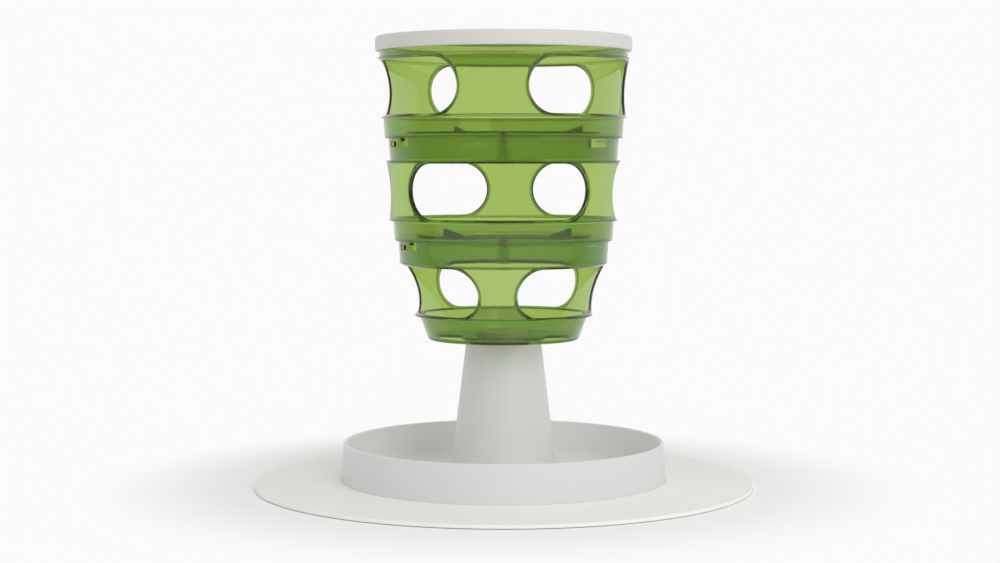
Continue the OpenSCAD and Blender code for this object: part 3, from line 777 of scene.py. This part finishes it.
class FEEDER_OT_dish(bpy.types.Operator):
    """Finish the ring dish"""

    bl_idname = "feeder.dish"
    bl_label = "Dish"

    def execute(self, context):
        colours = context.scene.feeder_colours
        # The inside colour is painted light, lighter than the dish's own white
        white = plastic("dish_white", colours.dish, roughness=0.38, inside=tuple(colours.dish_inside_painted_light))
        dress("dish", white)
        return {"FINISHED"}


class FEEDER_OT_stem(bpy.types.Operator):
    """Finish the tapered stem"""

    bl_idname = "feeder.stem"
    bl_label = "Stem"

    def execute(self, context):
        white = plastic("stem_white", context.scene.feeder_colours.stem, roughness=0.38)
        dress("stem", white)
        return {"FINISHED"}


class FEEDER_OT_stem_screws(bpy.types.Operator):
    """Finish the screws under the base"""

    bl_idname = "feeder.stem_screws"
    bl_label = "Stem screws"

    def execute(self, context):
        dress("stem_screws", zinc("screw_zinc", context.scene.feeder_colours.screw))
        return {"FINISHED"}


class FEEDER_OT_bottom_tier(bpy.types.Operator):
    """Build the bowl-shaped bottom tier"""

    bl_idname = "feeder.bottom_tier"
    bl_label = "Bottom tier"

    def execute(self, context):
        sizes = context.scene.feeder_sizes
        soft, top = sizes.edge_round / MM, SEAT_Z + WALL
        lower = [
            (LOW_BAND_R[0], LOW_BAND_Z, FINE_ROUND, None), (BOWL_TOP_R, LOW_BAND_Z, soft, None),
            (BOWL_FOOT_R, SEAT_Z, BOWL_FOOT_ROUND, None), (DROP_R[1], SEAT_Z, 0, "drop_out_under"),
            (DROP_R[0], SEAT_Z, 0, "drop_in_under"), (NOTCH_R, SEAT_Z, 0, "notch_under"),
            (BORE_R, SEAT_Z, FINE_ROUND, None), (BORE_R, top, FINE_ROUND, None),
            (NOTCH_R, top, 0, "notch_top"), (DROP_R[0], top, 0, "drop_in_top"),
            (DROP_R[1], top, 0, "drop_out_top"), (BOWL_FOOT_R - WALL, top, soft, None),
            (BOWL_TOP_R - WALL, LOW_BAND_Z + BAND_STEP, SEAM_ROUND, None),
        ]
        upper = neck_corners(sizes, LOW_NECK_Z, MIDDLE_Z, LOW_NECK_R, LOW_BAND_R[1])
        obj = tier_piece("bottom_tier_shell", sizes, (LOW_BAND_Z, LOW_NECK_Z), LOW_BAND_R, BOTTOM_WINDOW_A,
                         FRONT + SECTOR / 2, lower, upper, bowl_cuts(), lock_cuts())
        finish_tier(obj, clear_green(context), "bottom_tier")
        return {"FINISHED"}


class FEEDER_OT_middle_tier(bpy.types.Operator):
    """Build the middle tier with its skirt and neck"""

    bl_idname = "feeder.middle_tier"
    bl_label = "Middle tier"

    def execute(self, context):
        sizes = context.scene.feeder_sizes
        lower = skirt_corners(sizes, MIDDLE_Z, MIDDLE_BAND_Z, MIDDLE_SKIRT_R, MIDDLE_BAND_R[0])
        upper = neck_corners(sizes, MIDDLE_NECK_Z, TOP_Z, MIDDLE_NECK_R, MIDDLE_BAND_R[1])
        obj = tier_piece("middle_tier_shell", sizes, (MIDDLE_BAND_Z, MIDDLE_NECK_Z), MIDDLE_BAND_R,
                         MIDDLE_WINDOW_A, FRONT, lower, upper, (), lock_cuts())
        finish_tier(obj, clear_green(context), "middle_tier")
        return {"FINISHED"}


class FEEDER_OT_top_tier(bpy.types.Operator):
    """Build the top tier with its skirt and the rim under the lid"""

    bl_idname = "feeder.top_tier"
    bl_label = "Top tier"

    def execute(self, context):
        sizes = context.scene.feeder_sizes
        lower = skirt_corners(sizes, TOP_Z, TOP_BAND_Z, TOP_SKIRT_R, TOP_BAND_R[0])
        upper = [
            (TOP_BAND_R[1], TOP_RIM_Z, FINE_ROUND, None), (RIM_R, TOP_RIM_Z, RIM_FOOT_ROUND, None),
            (RIM_R, RIM_TOP_Z, RIM_ROUND, None), (RIM_R - WALL, RIM_TOP_Z, RIM_ROUND, None),
            (RIM_R - WALL, TOP_RIM_Z - BAND_STEP, SEAM_ROUND, None),
        ]
        obj = tier_piece("top_tier_shell", sizes, (TOP_BAND_Z, TOP_RIM_Z), TOP_BAND_R, TOP_WINDOW_A,
                         FRONT + SECTOR / 2 + TOP_WINDOW_TURN, lower, upper)
        finish_tier(obj, clear_green(context), "top_tier")
        return {"FINISHED"}


class FEEDER_OT_floors(bpy.types.Operator):
    """Finish the floors of the middle and top tiers"""

    bl_idname = "feeder.floors"
    bl_label = "Floors"

    def execute(self, context):
        green = green_plastic("floor_green", context.scene.feeder_colours, roughness=0.06, strength=0.45,
                              deep=False, ior=INSERT_IOR)
        for node in ("middle_floor", "top_floor"):
            dress(node, green)
        return {"FINISHED"}


class FEEDER_OT_gates(bpy.types.Operator):
    """Finish the turning gates with their finger fins"""

    bl_idname = "feeder.gates"
    bl_label = "Gates"

    def execute(self, context):
        green = green_plastic("gate_green", context.scene.feeder_colours, roughness=0.08, strength=0.3,
                              deep=False, ior=INSERT_IOR, fins=GATE_FIN_R)
        for node in ("middle_gate", "top_gate"):
            dress(node, green)
        return {"FINISHED"}


class FEEDER_OT_lid(bpy.types.Operator):
    """Finish the lid"""

    bl_idname = "feeder.lid"
    bl_label = "Lid"

    def execute(self, context):
        white = plastic("lid_white", context.scene.feeder_colours.lid, roughness=0.42, glow=LID_PAINTED_GLOW)
        dress("lid", white)
        return {"FINISHED"}


class FEEDER_OT_stage(bpy.types.Operator):
    """Set up the pale floor, the soft lamps and the camera"""

    bl_idname = "feeder.stage"
    bl_label = "Stage"

    def execute(self, context):
        studio = context.scene.feeder_studio
        pale = (*studio.backdrop, 1)
        self.floor(pale)
        self.world(context.scene, pale, studio.fill)
        self.lamp("top_softbox", *TOP_LAMP, studio.top_power)
        self.lamp("front_softbox", *FRONT_LAMP, studio.front_power)
        self.camera(context.scene, studio)
        context.scene.view_settings.view_transform = "Standard"
        return {"FINISHED"}

    @staticmethod
    def seen_rays(tree):
        """1 for rays that show the backdrop: from the camera, in a reflection or through clear plastic."""
        rays = add_node(tree, "ShaderNodeLightPath").outputs
        first = math_value(tree, "MAXIMUM", rays["Is Camera Ray"], rays["Is Glossy Ray"])
        return math_value(tree, "MAXIMUM", first, rays["Is Transmission Ray"])

    def floor(self, pale):
        """A wide pale floor that keeps the shadow near the feeder and fades to the backdrop further out."""
        mesh = bpy.data.meshes.new("studio_floor")
        corners = [(x * FLOOR_REACH, y * FLOOR_REACH, 0) for x, y in ((-1, -1), (1, -1), (1, 1), (-1, 1))]
        mesh.from_pydata(corners, [], [(0, 1, 2, 3)])
        obj = bpy.data.objects.new("studio_floor", mesh)
        bpy.context.scene.collection.objects.link(obj)
        material, tree, out = new_material("pale_floor")
        tone = use_group(tree, tone_group(), color=FLOOR_COLOUR, change=0.004)
        matt = add_node(tree, "ShaderNodeBsdfDiffuse", [("Color", tone.outputs["Color"])])
        glow = add_node(tree, "ShaderNodeEmission", [("Color", pale), ("Strength", 1.0)])
        place = add_node(tree, "ShaderNodeNewGeometry").outputs["Position"]
        away = add_node(tree, "ShaderNodeVectorMath", [(0, place)], operation="LENGTH")
        fade = ranged(tree, away.outputs["Value"], FLOOR_FADE, interpolation_type="SMOOTHSTEP")
        share = math_value(tree, "MULTIPLY", fade, self.seen_rays(tree))
        mix = mixed_shader(tree, share, matt.outputs["BSDF"], glow.outputs["Emission"])
        tree.links.new(mix, out.inputs["Surface"])
        obj.data.materials.append(material)

    def world(self, scene, pale, fill):
        """An even soft light, with the white backdrop, darker in front and above, for what is seen."""
        world = bpy.data.worlds.new("studio_world")
        world.use_nodes = True
        tree = world.node_tree
        tree.nodes.clear()
        even = add_node(tree, "ShaderNodeBackground", [("Color", (1, 1, 1, 1)), ("Strength", fill)])
        rays = add_node(tree, "ShaderNodeLightPath").outputs
        place = add_node(tree, "ShaderNodeSeparateXYZ",
                         [(0, add_node(tree, "ShaderNodeTexCoord").outputs["Generated"])])
        room = ranged(tree, place.outputs["Y"], ROOM_Y, (ROOM_LEVEL, 1.0), interpolation_type="SMOOTHSTEP")
        ceiling = ranged(tree, place.outputs["Z"], CEILING_Z, (1.0, ROOM_LEVEL),
                         interpolation_type="SMOOTHSTEP")
        walls = math_value(tree, "MAXIMUM", room, rays["Is Transmission Ray"])
        around = math_value(tree, "MULTIPLY", walls, ceiling)
        level = math_value(tree, "MAXIMUM", around, rays["Is Camera Ray"])
        white = add_node(tree, "ShaderNodeBackground", [("Color", pale), ("Strength", level)])
        seen = self.seen_rays(tree)
        mix = mixed_shader(tree, seen, even.outputs["Background"], white.outputs["Background"])
        out = add_node(tree, "ShaderNodeOutputWorld")
        tree.links.new(mix, out.inputs["Surface"])
        scene.world = world

    @staticmethod
    def lamp(name, place, target, size, power):
        """A square soft lamp aimed at a point."""
        data = bpy.data.lights.new(name, "AREA")
        data.shape, data.size, data.energy = "SQUARE", size, power
        obj = bpy.data.objects.new(name, data)
        obj.location = place
        obj.rotation_euler = (Vector(target) - Vector(place)).to_track_quat("-Z", "Y").to_euler()
        bpy.context.scene.collection.objects.link(obj)

    @staticmethod
    def camera(scene, studio):
        """The camera at the height, turn and pitch that the round rims show."""
        data = bpy.data.cameras.new("front_camera")
        data.sensor_fit, data.sensor_width, data.lens = "HORIZONTAL", SENSOR_W, studio.lens
        data.clip_end = CLIP_END
        obj = bpy.data.objects.new("front_camera", data)
        c, s = math.cos(studio.turn), math.sin(studio.turn)
        across, back = studio.side, studio.distance
        obj.location = (across * c + back * s, across * s - back * c, studio.height)
        obj.rotation_euler = (math.pi / 2 - studio.pitch, 0, studio.turn)
        scene.collection.objects.link(obj)
        scene.camera = obj


PIECES = (
    FEEDER_OT_base_plate, FEEDER_OT_rubber_feet, FEEDER_OT_dish, FEEDER_OT_stem, FEEDER_OT_stem_screws,
    FEEDER_OT_bottom_tier, FEEDER_OT_floors, FEEDER_OT_gates, FEEDER_OT_middle_tier, FEEDER_OT_top_tier,
    FEEDER_OT_lid, FEEDER_OT_stage,
)


class FEEDER_PT_panel(bpy.types.Panel):
    """Lists the feeder's pieces and settings"""

    bl_idname = "FEEDER_PT_panel"
    bl_label = "Cat puzzle feeder"
    bl_space_type = "VIEW_3D"
    bl_region_type = "UI"
    bl_category = "Feeder"

    def draw(self, context):
        for operator in PIECES:
            self.layout.operator(operator.bl_idname)
        for group in (context.scene.feeder_colours, context.scene.feeder_sizes, context.scene.feeder_studio):
            box = self.layout.box()
            for name in group.bl_rna.properties.keys():
                if name not in ("rna_type", "name"):
                    box.prop(group, name)


CLASSES = (FeederColours, FeederSizes, FeederStudio, *PIECES, FEEDER_PT_panel)


def register():
    for cls in CLASSES:
        bpy.utils.register_class(cls)
    bpy.types.Scene.feeder_colours = bpy.props.PointerProperty(type=FeederColours)
    bpy.types.Scene.feeder_sizes = bpy.props.PointerProperty(type=FeederSizes)
    bpy.types.Scene.feeder_studio = bpy.props.PointerProperty(type=FeederStudio)


def unregister():
    for name in ("feeder_studio", "feeder_sizes", "feeder_colours"):
        delattr(bpy.types.Scene, name)
    for cls in reversed(CLASSES):
        bpy.utils.unregister_class(cls)


def main():
    register()
    for operator in PIECES:
        group, name = operator.bl_idname.split(".")
        getattr(getattr(bpy.ops, group), name)()


if __name__ == "__main__":
    main()
